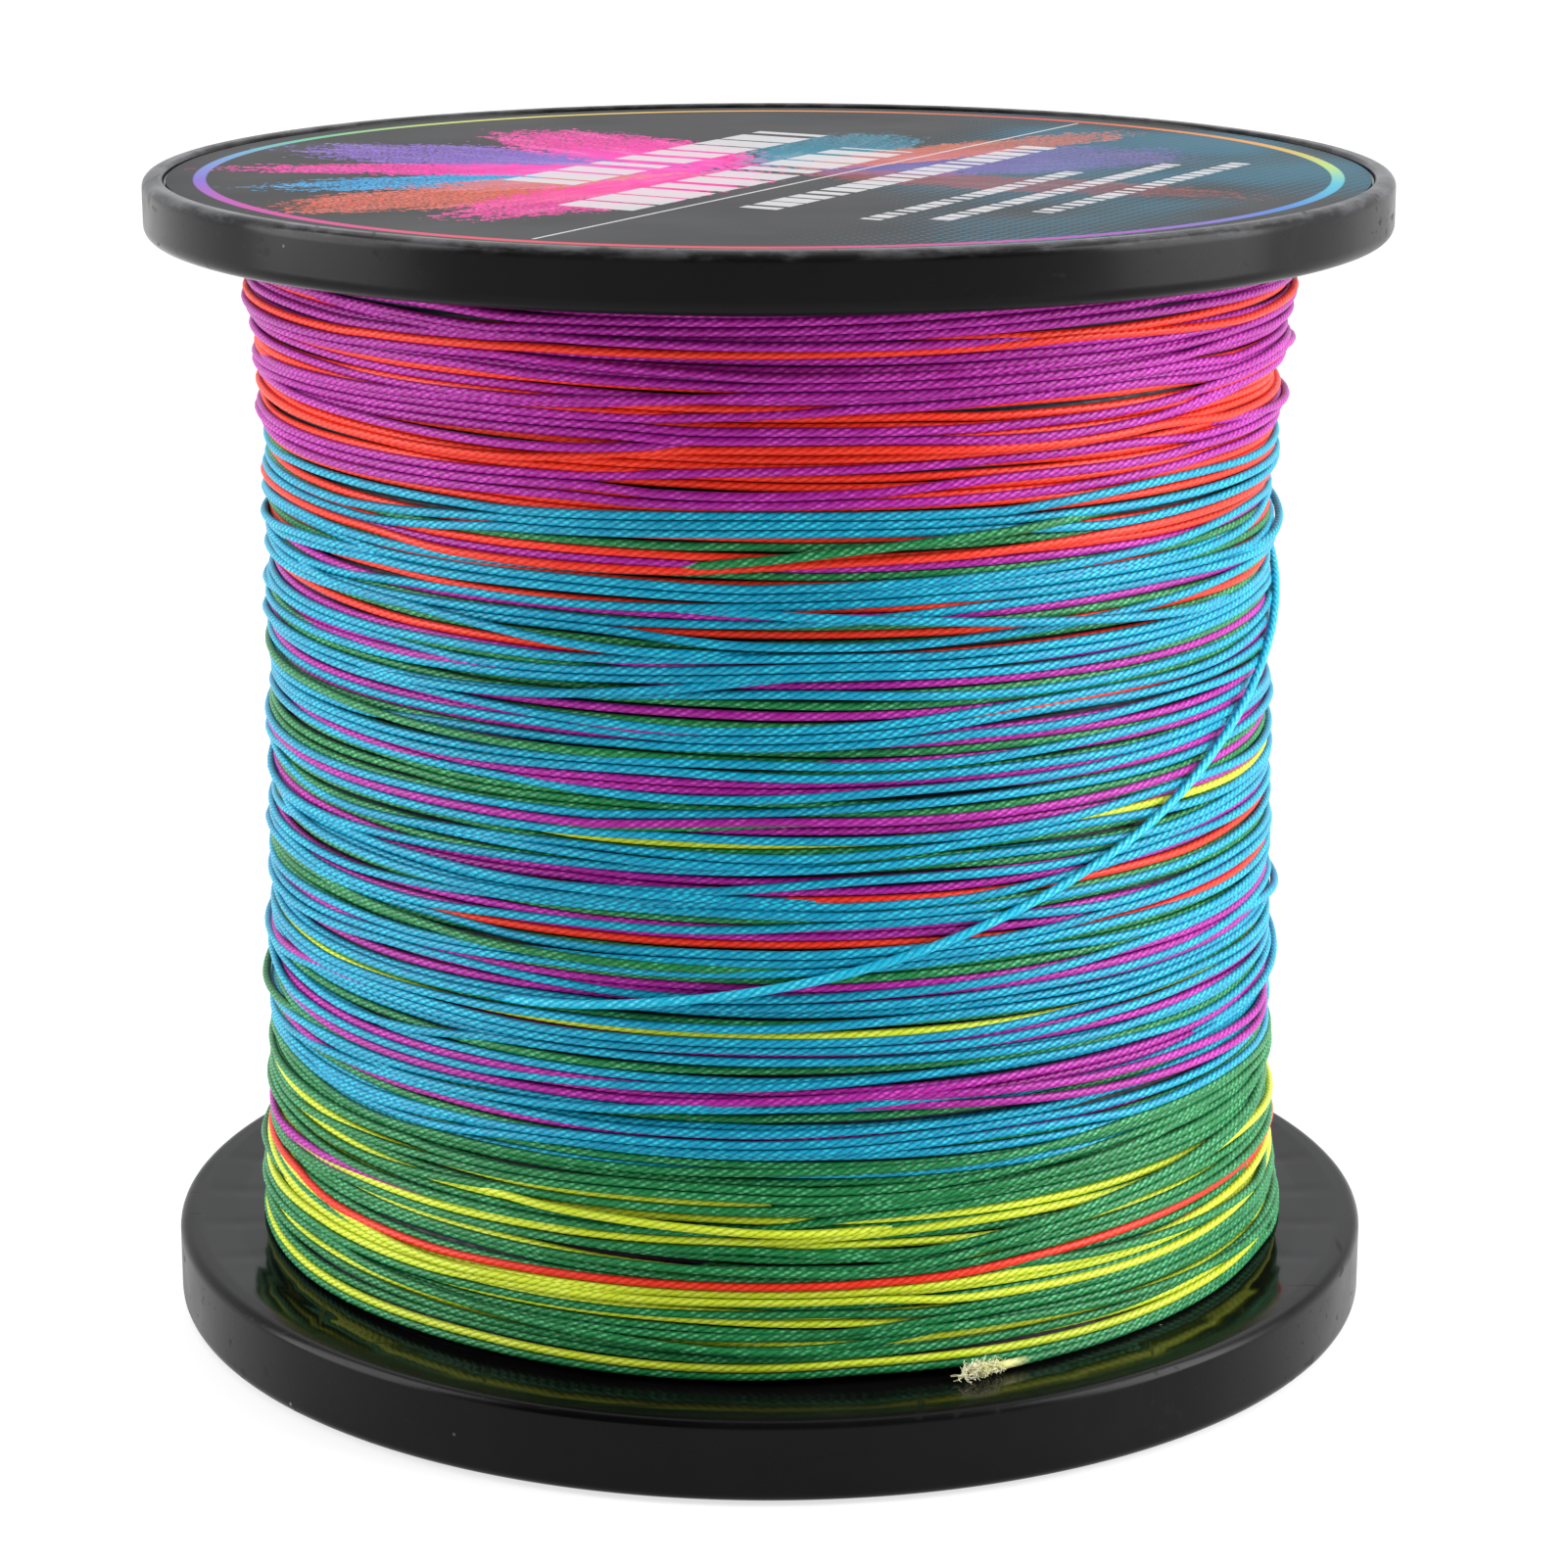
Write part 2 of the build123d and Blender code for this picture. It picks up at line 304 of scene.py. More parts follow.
def line_material(name, dark, base, light, fleck=1.0, shade=0.60, bare_from=None):
    """Braided line: slanting carriers along the strand, with dye and wax that vary along it. The grooves
    between the carriers are painted shade and their ridges carry painted highlights in the light tone; the
    strand's sides, where it meets its neighbours, are painted shade. From bare_from on, in millimetres along
    it, it is bare of dye."""
    m = Shade(name)
    uv = m.add("ShaderNodeUVMap", uv_map="strand").outputs[0]
    parts = m.add("ShaderNodeSeparateXYZ")
    m.put(parts.inputs[0], uv)
    along, about = parts.outputs[0], parts.outputs[1]
    advance = m.math("MULTIPLY", along, 2 * math.pi / BRAID_LAY)
    turn = m.math("MULTIPLY", about, CARRIERS * math.pi)
    one = m.math("ABSOLUTE", m.math("SINE", m.math("MULTIPLY", m.math("ADD", advance, turn), 0.5)))
    two = m.math("ABSOLUTE", m.math("SINE", m.math("MULTIPLY", m.math("SUBTRACT", advance, turn), 0.5)))
    carrier = m.math("ADD", m.math("MULTIPLY", one, 0.72), m.math("MULTIPLY", two, 0.28))
    whole = m.place()[0]
    slow = m.noise(m.join(m.math("MULTIPLY", along, 0.05), 0.0), 1.0, 3.0)
    fine = m.noise(whole, 900.0)
    # The grooves between the carriers are painted towards the dark tone: painted shade.
    valley = m.band(carrier, 0.25, 0.72)
    # Flecks of the light tone on the carriers' ridges: painted highlights.
    ridge_highlight = m.math("MULTIPLY", m.band(carrier, 0.66, 1.0), m.band(fine, 0.4, 0.62))
    tone = m.mix(valley, tuple(0.35 * b + 0.65 * d for b, d in zip(base, dark)), base)
    tone = m.mix(m.math("MULTIPLY", ridge_highlight, 0.62 * fleck), tone, light)
    tone = m.mix(m.band(slow, 0.35, 0.7, 0.0, 0.28), tone, dark)
    # The strand's sides, where it meets its neighbours, are painted towards the dark tone by the share shade:
    # painted shade.
    flank_shade = m.math("ABSOLUTE", m.math("SUBTRACT", about, 0.5))
    tone = m.mix(m.band(flank_shade, 0.09, 0.25, 0.0, shade), tone, dark)
    if bare_from is not None:
        tone = m.mix(m.band(along, bare_from, bare_from + 1.6, kind="LINEAR"), tone, BARE_LINE)
    m.set(Base_Color=tone, Roughness=m.band(fine, 0.3, 0.7, 0.34, 0.50))
    m.set(Normal=m.bump(m.math("MULTIPLY", carrier, fleck), 0.05 * MM, 0.9))
    m.shader.inputs["Specular IOR Level"].default_value = 0.24
    m.shader.inputs["Sheen Weight"].default_value = 0.02
    m.shader.inputs["Sheen Roughness"].default_value = 0.4
    return m.material


def plastic_material():
    """Glossy black moulding: fine hairline scratches, dust, a slight haze, rims dulled by handling and a
    lip painted lighter grey in patches round the label, partly as scuffing and partly as a painted highlight."""
    m = Shade("black_moulding")
    whole, x, y, z = m.place()
    radius = m.length(x, y)
    worn = m.band(radius, FLANGE_RADIUS - 2.6 * MM, FLANGE_RADIUS - 0.9 * MM)
    scratch_a = m.noise(m.stretch(whole, (900.0, 60.0, 900.0), (0.3, 0.2, 0.5)), 1.0)
    scratch_b = m.noise(m.stretch(whole, (70.0, 1100.0, 800.0), (0.1, 0.6, 1.2)), 1.0)
    scratch = m.math("MAXIMUM", m.band(scratch_a, 0.66, 0.72), m.band(scratch_b, 0.67, 0.73))
    haze = m.noise(whole, 55.0, 4.0, 0.6)
    wave = m.noise(whole, 30.0, 1.0)
    patch = m.band(m.noise(whole, 160.0), 0.60, 0.66)
    speck = m.math("MULTIPLY", m.band(m.cells(whole, 420.0), 0.07, 0.03), patch)
    tone = m.mix(m.band(haze, 0.3, 0.75), (0.0020, 0.0018, 0.0019), (0.0042, 0.0038, 0.0040))
    tone = m.mix(m.math("MULTIPLY", speck, 0.5), tone, (0.32, 0.32, 0.32))
    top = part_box("upper_flange")[1].z
    # The lip round the label is painted lighter grey in patches: partly scuffing, partly a painted highlight.
    lip = m.band(radius, FLANGE_RADIUS - 1.7 * MM, FLANGE_RADIUS - 1.2 * MM)
    lip = m.math("MULTIPLY", m.band(z, top - 0.8 * MM, top - 0.1 * MM), lip)
    scuff_and_highlight = m.band(m.noise(m.stretch(whole, (260.0, 260.0, 900.0)), 1.0, 4.0, 0.7), 0.42, 0.66, 0.15, 1.0)
    tone = m.mix(m.math("MULTIPLY", lip, scuff_and_highlight), tone, (0.058, 0.058, 0.062))
    rough = m.math("ADD", m.band(haze, 0.3, 0.8, 0.06, 0.12), m.math("MULTIPLY", scratch, 0.16))
    rough = m.math("ADD", rough, m.math("MULTIPLY", worn, m.band(haze, 0.3, 0.7, 0.13, 0.24)))
    m.set(Base_Color=tone, Roughness=m.math("ADD", rough, m.math("MULTIPLY", speck, 0.3)))
    height = m.math("ADD", m.math("MULTIPLY", scratch, -0.02), m.math("MULTIPLY", wave, 0.25))
    m.set(Normal=m.bump(height, 0.12 * MM, 0.8))
    m.shader.inputs["Specular IOR Level"].default_value = 0.11
    return m.material


# Round the label, from 0 in front towards +X.
RAINBOW = (
    (0.0, (0.85, 0.08, 0.16)), (0.09, (0.45, 0.13, 0.55)), (0.16, (0.10, 0.28, 0.75)),
    (0.22, (0.12, 0.60, 0.75)), (0.26, (0.55, 0.80, 0.25)), (0.32, (0.90, 0.42, 0.10)),
    (0.42, (0.80, 0.08, 0.07)), (0.53, (0.90, 0.50, 0.10)), (0.60, (0.75, 0.80, 0.20)),
    (0.66, (0.20, 0.65, 0.35)), (0.71, (0.20, 0.45, 0.75)), (0.77, (0.28, 0.20, 0.70)),
    (0.84, (0.70, 0.10, 0.45)), (0.92, (0.85, 0.10, 0.15)),
)
RAINBOW_STRENGTH = 0.52
# Each petal of the burst: its turn in degrees from +X, length and half width in label radii, ink and cover.
PETALS = (
    (158, 0.92, 0.17, (0.16, 0.085, 0.36), 0.95), (20, 0.78, 0.20, (0.13, 0.085, 0.32), 0.60),
    (196, 0.86, 0.13, (0.02, 0.24, 0.48), 0.90), (214, 0.96, 0.16, (0.50, 0.085, 0.05), 0.85),
    (232, 0.80, 0.14, (0.56, 0.022, 0.22), 0.95), (128, 0.78, 0.17, (0.58, 0.028, 0.25), 0.97),
    (178, 0.95, 0.09, (0.58, 0.022, 0.25), 0.97), (-24, 0.86, 0.10, (0.24, 0.04, 0.04), 0.55),
    (70, 0.62, 0.14, (0.02, 0.18, 0.26), 0.75), (42, 0.88, 0.09, (0.42, 0.10, 0.05), 0.80),
)
# Each row of plain blocks: its middle along and across, half length and half width, and blocks per radius.
BLOCK_ROWS = (
    (0.09, 0.245, 0.42, 0.070, 11.0), (-0.10, -0.010, 0.46, 0.070, 11.0),
    (0.05, -0.235, 0.50, 0.034, 19.0), (-0.12, -0.450, 0.36, 0.018, 27.0),
    (0.00, -0.545, 0.42, 0.018, 27.0), (0.12, -0.640, 0.38, 0.018, 27.0),
)
PRINT_LEAN = math.radians(60.0)     # of the rows and dots, from +X
DOTS_PER_RADIUS = 52.0


def turned_axes(m, x, y, turn):
    """Coordinates along and across a direction at that turn."""
    c, d = math.cos(turn), math.sin(turn)
    along = m.math("ADD", m.math("MULTIPLY", x, c), m.math("MULTIPLY", y, d))
    return along, m.math("SUBTRACT", m.math("MULTIPLY", y, c), m.math("MULTIPLY", x, d))


def rainbow_ring(m, x, y, radius):
    """Where the ring is, and its colour there."""
    angle = m.math("DIVIDE", m.math("ARCTAN2", x, m.math("MULTIPLY", y, -1.0)), 2 * math.pi)
    angle = m.math("FRACT", m.math("ADD", angle, 1.0))
    stops = [(where, tuple(RAINBOW_STRENGTH * c for c in colour)) for where, colour in RAINBOW]
    ring = m.math("MULTIPLY", m.band(radius, 0.932, 0.936), m.band(radius, 0.957, 0.953))
    return ring, m.ramp(angle, stops)


def label_ground(m, whole, x, u, v):
    """Dark grey, with a blue glow and a raster of dots towards +X."""
    cloud = m.noise(whole, 34.0)
    du = m.math("SUBTRACT", m.math("FRACT", m.math("MULTIPLY", u, DOTS_PER_RADIUS)), 0.5)
    dv = m.math("SUBTRACT", m.math("FRACT", m.math("MULTIPLY", v, DOTS_PER_RADIUS)), 0.5)
    size = m.math("MULTIPLY", m.math("MULTIPLY", m.band(cloud, 0.36, 0.62), m.band(x, -0.25, 0.5)), 0.52)
    dots = m.math("LESS_THAN", m.length(du, dv), size)
    glow = m.math("MULTIPLY", m.band(x, 0.0, 0.9), m.band(cloud, 0.40, 0.60))
    tone = m.mix(m.band(m.noise(whole, 60.0, 3.0), 0.3, 0.7), (0.030, 0.030, 0.031), (0.042, 0.042, 0.043))
    tone = m.mix(m.math("MULTIPLY", glow, 0.55), tone, (0.006, 0.085, 0.12))
    return m.mix(m.math("MULTIPLY", dots, 0.55), tone, (0.035, 0.12, 0.18))


def powder_petal(m, x, y, tear, dust, turn, length, width, ink):
    """Where one petal of powder is, torn at its edge and thinner outward, and its colour there."""
    along, across = turned_axes(m, x, y, math.radians(turn))
    far = m.math("SUBTRACT", m.math("MULTIPLY", along, 2.0 / length), 1.0)
    off = m.math("DIVIDE", across, width)
    body = m.math("ADD", m.math("MULTIPLY", far, far), m.math("MULTIPLY", off, off))
    drawn = m.join(m.math("MULTIPLY", along, 7.0), m.math("MULTIPLY", across, 34.0), turn * 0.1)
    streak = m.noise(drawn, 1.0, 3.0, 0.65)
    torn = m.math("ADD", m.math("MULTIPLY", streak, 1.4), tear)
    mask = m.band(m.math("SUBTRACT", torn, body), 0.96, 1.04)
    bare = m.math("MULTIPLY", m.band(far, -0.5, 0.6, 0.15, 0.85), dust)
    light = tuple(min(1.0, 0.10 + 0.95 * share) for share in ink)
    colour = m.mix(m.band(streak, 0.45, 0.75, 0.0, 0.75), ink, light)
    return m.math("MULTIPLY", mask, m.math("SUBTRACT", 1.0, bare)), colour


def plain_blocks(m, u, v, row, middle_u, middle_v, half_u, half_v, step):
    """Where one row of blocks of uneven lengths is."""
    count = m.math("ADD", m.math("MULTIPLY", u, step), 0.3 * row)
    cell = m.math("SUBTRACT", m.math("FRACT", count), 0.5)
    vary = m.noise(m.join(m.math("FLOOR", count), 3.7 * row, 0.5), 0.9, 0.0)
    in_u = m.math("LESS_THAN", m.math("ABSOLUTE", m.math("SUBTRACT", u, middle_u)), half_u)
    in_v = m.math("LESS_THAN", m.math("ABSOLUTE", m.math("SUBTRACT", v, middle_v)), half_v)
    block = m.math("LESS_THAN", m.math("ABSOLUTE", cell), m.band(vary, 0.3, 0.65, 0.22, 0.44))
    return m.math("MULTIPLY", m.math("MULTIPLY", in_u, in_v), block)


def label_material():
    """Printed film: a ground, a burst of powder colours, plain blocks with one thin rule, a rainbow ring."""
    m = Shade("printed_label")
    whole, x, y, _ = m.place()
    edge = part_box("upper_label")[1].x
    x, y = m.math("DIVIDE", x, edge), m.math("DIVIDE", y, edge)
    radius = m.length(x, y)
    u, v = turned_axes(m, x, y, PRINT_LEAN)
    tone = label_ground(m, whole, x, u, v)

    grain, fleck = m.noise(whole, 1400.0, 1.0), m.noise(whole, 2300.0, 1.0)
    tear = m.math("ADD", m.math("MULTIPLY", grain, 1.3), m.math("MULTIPLY", fleck, 0.9))
    dust = m.band(m.noise(whole, 3600.0, 1.0), 0.50, 0.44)
    for *shape, cover in PETALS:
        mask, colour = powder_petal(m, x, y, tear, dust, *shape)
        tone = m.mix(m.math("MULTIPLY", mask, cover), tone, colour)

    rule = m.math("LESS_THAN", m.math("ABSOLUTE", m.math("ADD", v, 0.125)), 0.0032)
    marks = m.math("MULTIPLY", rule, m.math("LESS_THAN", radius, 0.92))
    for row, shape in enumerate(BLOCK_ROWS):
        marks = m.math("MAXIMUM", marks, plain_blocks(m, u, v, row, *shape))
    tone = m.mix(m.math("MULTIPLY", marks, 0.88), tone, (0.41, 0.40, 0.41))
    ring, colour = rainbow_ring(m, x, y, radius)
    tone = m.mix(ring, tone, colour)
    m.set(Base_Color=tone, Roughness=m.band(m.noise(whole, 40.0, 3.0), 0.3, 0.75, 0.50, 0.62))
    m.set(Normal=m.bump(m.noise(whole, 60.0), 0.05 * MM, 0.4))
    m.shader.inputs["Specular IOR Level"].default_value = 0.055
    return m.material


def card_material():
    """Light grey card with one dark ring printed near its edge."""
    m = Shade("plain_card")
    whole, x, y, _ = m.place()
    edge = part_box("lower_label")[1].x
    radius = m.math("DIVIDE", m.length(x, y), edge)
    fibre = m.noise(m.stretch(whole, (1600.0, 500.0, 800.0)), 1.0, 3.0, 0.6)
    tone = m.mix(m.band(fibre, 0.3, 0.7), (0.50, 0.49, 0.47), (0.62, 0.61, 0.59))
    line = m.math("MULTIPLY", m.band(radius, 0.90, 0.905), m.band(radius, 0.925, 0.92))
    tone = m.mix(m.math("MULTIPLY", line, 0.8), tone, (0.05, 0.05, 0.055))
    m.set(Base_Color=tone, Roughness=m.band(fibre, 0.2, 0.8, 0.6, 0.75))
    m.set(Normal=m.bump(fibre, 0.04 * MM, 0.6))
    return m.material


def tape_material():
    """Creased matte tape."""
    m = Shade("anchor_tape")
    whole = m.place()[0]
    crease = m.noise(m.stretch(whole, (120.0, 120.0, 700.0)), 1.0, 3.0)
    tone = m.mix(m.band(crease, 0.3, 0.7), (0.66, 0.62, 0.50), (0.80, 0.77, 0.68))
    m.set(Base_Color=tone, Roughness=m.band(crease, 0.3, 0.7, 0.45, 0.65))
    m.set(Normal=m.bump(crease, 0.05 * MM, 0.6))
    return m.material


BURIED_PITCH = 0.66 * MM
# Very dark copies of the line's dyes: painted shade on the buried layers.
BURIED_SHADED_INKS = (
    (0.0, (0.004, 0.012, 0.030)), (0.42, (0.004, 0.030, 0.016)), (0.50, (0.028, 0.004, 0.030)),
    (0.58, (0.003, 0.010, 0.022)),
)


def under_material():
    """The mixed colours of the buried layers, painted very dark: painted shade."""
    m = Shade("buried_line")
    whole, x, y, z = m.place()
    angle = m.math("ARCTAN2", y, x)
    ring = m.math("ADD", m.math("MULTIPLY", z, 1 / BURIED_PITCH), m.math("MULTIPLY", angle, 0.6))
    which = m.noise(m.join(m.math("FLOOR", ring), m.math("MULTIPLY", angle, 0.4), 0.0), 0.7, 0.0)
    shaded_inks = m.ramp(which, BURIED_SHADED_INKS, "CONSTANT")
    fleck = m.noise(whole, 1500.0, 1.0)
    m.set(Base_Color=m.mix(m.band(fleck, 0.4, 0.7, 0.0, 0.4), shaded_inks, (0.03, 0.05, 0.07)))
    m.set(Roughness=m.band(fleck, 0.3, 0.7, 0.5, 0.7), Normal=m.bump(fleck, 0.05 * MM, 0.5))
    return m.material


def fray_material():
    """Pale filaments, bare of dye."""
    m = Shade("frayed_filament")
    vary = m.noise(m.place()[0], 700.0)
    tone = m.mix(m.band(vary, 0.35, 0.65), (0.74, 0.72, 0.36), (0.93, 0.91, 0.66))
    m.set(Base_Color=tone, Roughness=m.band(vary, 0.3, 0.7, 0.4, 0.6))
    m.set(Normal=m.bump(vary, 0.02 * MM, 0.5))
    m.shader.inputs["Sheen Weight"].default_value = 0.3
    return m.material


def floor_material():
    """A pale floor with light of its own, as a light table has, so that it stays white with little bounce."""
    m = Shade("studio_floor")
    vary = m.noise(m.place()[0], 3.0)
    m.set(Base_Color=m.mix(vary, (0.29, 0.29, 0.29), (0.31, 0.31, 0.31)))
    m.set(Roughness=m.band(vary, 0.3, 0.7, 0.8, 0.9))
    m.shader.inputs["Specular IOR Level"].default_value = 0.1
    m.shader.inputs["Emission Color"].default_value = (1.0, 1.0, 1.0, 1.0)
    m.shader.inputs["Emission Strength"].default_value = 0.70
    return m.material


# Each dye of the line: dark, base and light tone, and how strongly its braid shows. The dark tone also
# paints shade in the braid's grooves and on the strand's sides; the light tone paints highlights on its
# ridges.
DYES = {
    "purple": ((0.10, 0.002, 0.080), (0.40, 0.012, 0.31), (0.82, 0.10, 0.70), 1.0),
    "blue": ((0.001, 0.075, 0.15), (0.003, 0.33, 0.52), (0.05, 0.80, 0.95), 1.0),
    "green": ((0.002, 0.045, 0.014), (0.010, 0.205, 0.055), (0.16, 0.64, 0.30), 1.0),
    "red": ((0.36, 0.005, 0.003), (0.86, 0.034, 0.010), (1.0, 0.13, 0.05), 0.6),
    "yellow": ((0.24, 0.29, 0.006), (0.62, 0.75, 0.030), (0.90, 0.95, 0.25), 0.8),
}
LINE = {name: line_material(name + "_line", *dye) for name, dye in DYES.items()}


# ---------------------------------------------------------------- cords

# Points of (radius, angle, height), for around(). They follow the routes of the CAD's tubes, but lie up
# to 2 mm nearer the axis, and the crossing strand has more of them towards its ends.
CROSSING_ROUTE = (
    (36.15, 118.0, 59.12), (36.16, 113.5, 59.03), (36.50, 108.5, 58.75), (37.08, 103.0, 58.10),
    (37.42, 95.0, 56.9), (37.52, 83.0, 54.4), (37.74, 71.0, 51.0), (37.78, 58.5, 47.0),
    (37.86, 46.0, 43.0), (37.90, 33.5, 39.9), (38.00, 21.0, 37.2), (38.00, 8.5, 35.0),
    (37.93, -4.0, 33.5), (37.90, -16.5, 32.45), (37.60, -25.0, 31.95), (36.95, -31.0, 31.76),
    (36.76, -36.5, 31.67), (36.75, -42.0, 31.67),
)
TAG_ROUTE = (
    (38.50, 75.0, 6.22), (38.52, 64.0, 6.22), (38.60, 53.0, 6.22), (38.75, 42.5, 6.22),
    (39.05, 32.0, 6.24), (39.55, 22.5, 6.30),
)
# The two tufts at the bare end, in millimetres: middle past the end, clumps, filament length, spread.
TUFTS = ((-0.3, 12, 1.1, 0.34), (0.9, 15, 1.25, 0.46))
FILAMENTS = 12                  # in each clump


def around(radius, angle, height):
    """A point at that radius, angle in degrees from -Y towards +X, and height, all in millimetres."""
    a = math.radians(angle)
    return Vector((radius * math.sin(a), -radius * math.cos(a), height)) * MM


def read_spline(route):
    """The smooth centreline of a route, read from its NURBS spline."""
    data = bpy.data.curves.new("guide", "CURVE")
    data.dimensions = "3D"
    spline = data.splines.new("NURBS")
    spline.points.add(len(route) - 1)
    for point, place in zip(spline.points, route):
        point.co = (*around(*place), 1.0)
    spline.order_u = 3
    spline.use_endpoint_u = True
    spline.resolution_u = 8
    guide = bpy.data.objects.new("guide", data)
    mesh = bpy.data.meshes.new_from_object(guide)
    points = np.array([v.co for v in mesh.vertices], float)
    bpy.data.objects.remove(guide)
    bpy.data.meshes.remove(mesh)
    return points


def stand_for(piece, node):
    """Shows a piece on the one body in place of a CAD node."""
    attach(piece, "root")
    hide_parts(node)


def cord_tube(name, points, material):
    outward = points * (1.0, 1.0, 0.0)
    outward /= np.linalg.norm(outward, axis=1)[:, None]
    tubes = Tubes(10)
    tubes.add(points, outward, LINE_RADIUS)
    return tubes.build(name, material)


def fray(end, direction):
    """The bare end of the braid comes apart into short filaments, matted together into a bushy tuft."""
    rng = np.random.default_rng(12)
    outward = np.array([end[0], end[1], 0.0])
    outward /= np.linalg.norm(outward)
    up = np.array([0.0, 0.0, 1.0])
    tubes = Tubes(5)
    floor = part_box("line_tag")[0].z + 0.03 * MM
    steps = 13
    for past, clumps, reach, spread in TUFTS:
        middle = end + direction * past * MM
        for _ in range(clumps):
            root = middle + (rng.normal(0.0, 0.45) * direction + rng.normal(0.0, 0.18) * up
                             + rng.normal(0.0, 0.14) * outward) * MM
            heading = (rng.normal(0.25, 0.8) * direction + rng.normal(0.1, 0.5) * up
                       + rng.normal(0.15, 0.5) * outward)
            for _ in range(FILAMENTS):
                place = root + rng.normal(0.0, 0.08, 3) * MM
                going = heading + rng.normal(0.0, 0.38, 3)
                bend = rng.normal(0.0, 0.30, 3)
                run = rng.uniform(0.55, 1.0) * reach * MM
                points = []
                for _ in range(steps):
                    points.append(place.copy())
                    going = going / np.linalg.norm(going)
                    place = place + going * run / (steps - 1)
                    away = place - middle
                    away -= away.dot(direction) * direction * 0.8
                    going = going + bend + rng.normal(0, 0.22, 3) - away / (spread * MM) * 0.30
                points = np.array(points)
                points[:, 2] = np.maximum(points[:, 2], floor)
                thick = rng.uniform(0.022, 0.040) * MM
                tubes.add(points, outward + 0.2 * up, thick * np.linspace(1.0, 0.6, steps))
    return tubes.build("tag_fray", fray_material())


make_camera()
crossing_points = read_spline(CROSSING_ROUTE)
# The crossing strand gets a lighter copy of the blue dye with little painted shade on its sides: painted
# light, for a strand that stands clear of the winding.
painted_lit_blue = line_material("loose_blue_line", (0.002, 0.20, 0.34), (0.010, 0.47, 0.68), (0.18, 0.90, 1.0),
                           shade=0.10)
crossing = cord_tube("crossing_strand", crossing_points, painted_lit_blue)
stand_for(crossing, "line_crossing")

tag_points = read_spline(TAG_ROUTE)
bare_end = line_material("tag_line", *DYES["green"], shade=0.40, bare_from=32.0)
tag = cord_tube("tag_strand", tag_points, bare_end)
stand_for(tag, "line_tag")
heading = tag_points[-1] - tag_points[-2]
tuft = fray(tag_points[-1], heading / np.linalg.norm(heading))
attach(tuft, "root")


# ---------------------------------------------------------------- the winding

PER_METRE = 20                  # the fit's own unit of height, which keeps its powers near 1


def wound_profile():
    """Outer radius of the wound line against height, fitted to the outer points of the CAD sleeves."""
    sleeves = ("line_green_stretch", "line_blue_stretch", "line_purple_stretch")
    verts = np.concatenate([[v.co for v in NODES[name].data.vertices] for name in sleeves]).astype(float)
    radius, height = np.hypot(verts[:, 0], verts[:, 1]), verts[:, 2] * PER_METRE
    keep = radius > 0.0
    for _ in range(6):
        fit = np.polyfit(height[keep], radius[keep], 5)
        keep = radius - np.polyval(fit, height) > -0.1 * MM
    return lambda z: np.polyval(fit, np.asarray(z) * PER_METRE)


surface = wound_profile()
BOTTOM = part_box("line_green_stretch")[0].z
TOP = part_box("line_purple_stretch")[1].z
BLUE_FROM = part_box("line_blue_stretch")[0].z
BLUE_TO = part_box("line_blue_stretch")[1].z


def waves(seed, count, shortest, longest, amplitude, swirl):
    """A smooth field over (angle, height) of that rms amplitude: waves from the shortest to the longest
    length in millimetres, each swirling round the axis up to that many times."""
    rng = np.random.default_rng(seed)
    length = rng.uniform(shortest, longest, count) * MM
    turns = rng.integers(-swirl, swirl + 1, count)
    phase = rng.uniform(0, 2 * math.pi, count)
    weight = rng.uniform(0.5, 1.0, count)
    weight *= amplitude / math.sqrt(float((weight ** 2).sum()) / 2)

    def field(angle, height):
        total = np.zeros_like(angle)
        for w, l, n, p in zip(weight, length, turns, phase):
            total += w * np.sin(2 * math.pi * height / l + n * angle + p)
        return total
    return field


def wind(strands, pitches, hand, phase, field, spacing):
    """Lays a layer of parallel strands that climb together, at pitches of (height share, pitch). Returns
    the angle, each strand's height along it, and the lowest and highest that a strand may lie."""
    low, high = BOTTOM + 1.02 * LINE_RADIUS, TOP - 1.02 * LINE_RADIUS
    z = np.linspace(low, high, 800)
    rate = 1.0 / np.interp((z - low) / (high - low), *zip(*pitches))
    below = np.concatenate([[0.0], np.cumsum((rate[1:] + rate[:-1]) / 2 * np.diff(z))])
    turns = int(math.ceil(below[-1] / strands))
    t = np.arange(turns * STEPS) / STEPS
    angle = hand * 2 * math.pi * t + phase
    heights = []
    for m in range(strands):
        place = t * strands + m
        z_there = np.interp(place, below, z) + np.maximum(place - below[-1], 0.0) * pitches[-1][1]
        fade = np.clip(np.minimum(z_there - low, high - z_there) / (2.5 * MM), 0.0, 1.0)
        heights.append(z_there + field(angle, z_there) * fade)
    rows = [heights[m][k * STEPS:(k + 1) * STEPS] for k in range(turns) for m in range(strands)]
    up = [rows[0].copy()]
    for row in rows[1:]:
        up.append(np.maximum(row, up[-1] + spacing))
    down = [rows[-1].copy()]
    for row in rows[-2::-1]:
        down.append(np.minimum(row, down[-1] - spacing))
    laid = [(a + b) / 2 for a, b in zip(up, down[::-1])]
    return angle, [np.concatenate(laid[m::strands]) for m in range(strands)], low, high


def spread_of(heights, strands):
    """How loosely each strand lies, from the gaps to its neighbours: 0 where they touch, 1 where they are
    far apart."""
    touching, far = 2 * LINE_RADIUS, 4.4 * LINE_RADIUS
    rows = [heights[m][k:k + STEPS] for k in range(0, len(heights[0]), STEPS) for m in range(strands)]
    gaps = [b - a for a, b in zip(rows, rows[1:])]
    gaps = [gaps[0]] + gaps + [gaps[-1]]
    means = [(a + b) / 2 for a, b in zip(gaps, gaps[1:])]
    loose = [np.clip((mean - touching) / (far - touching), 0.0, 1.0) for mean in means]
    return [np.concatenate(loose[m::strands]) for m in range(strands)]


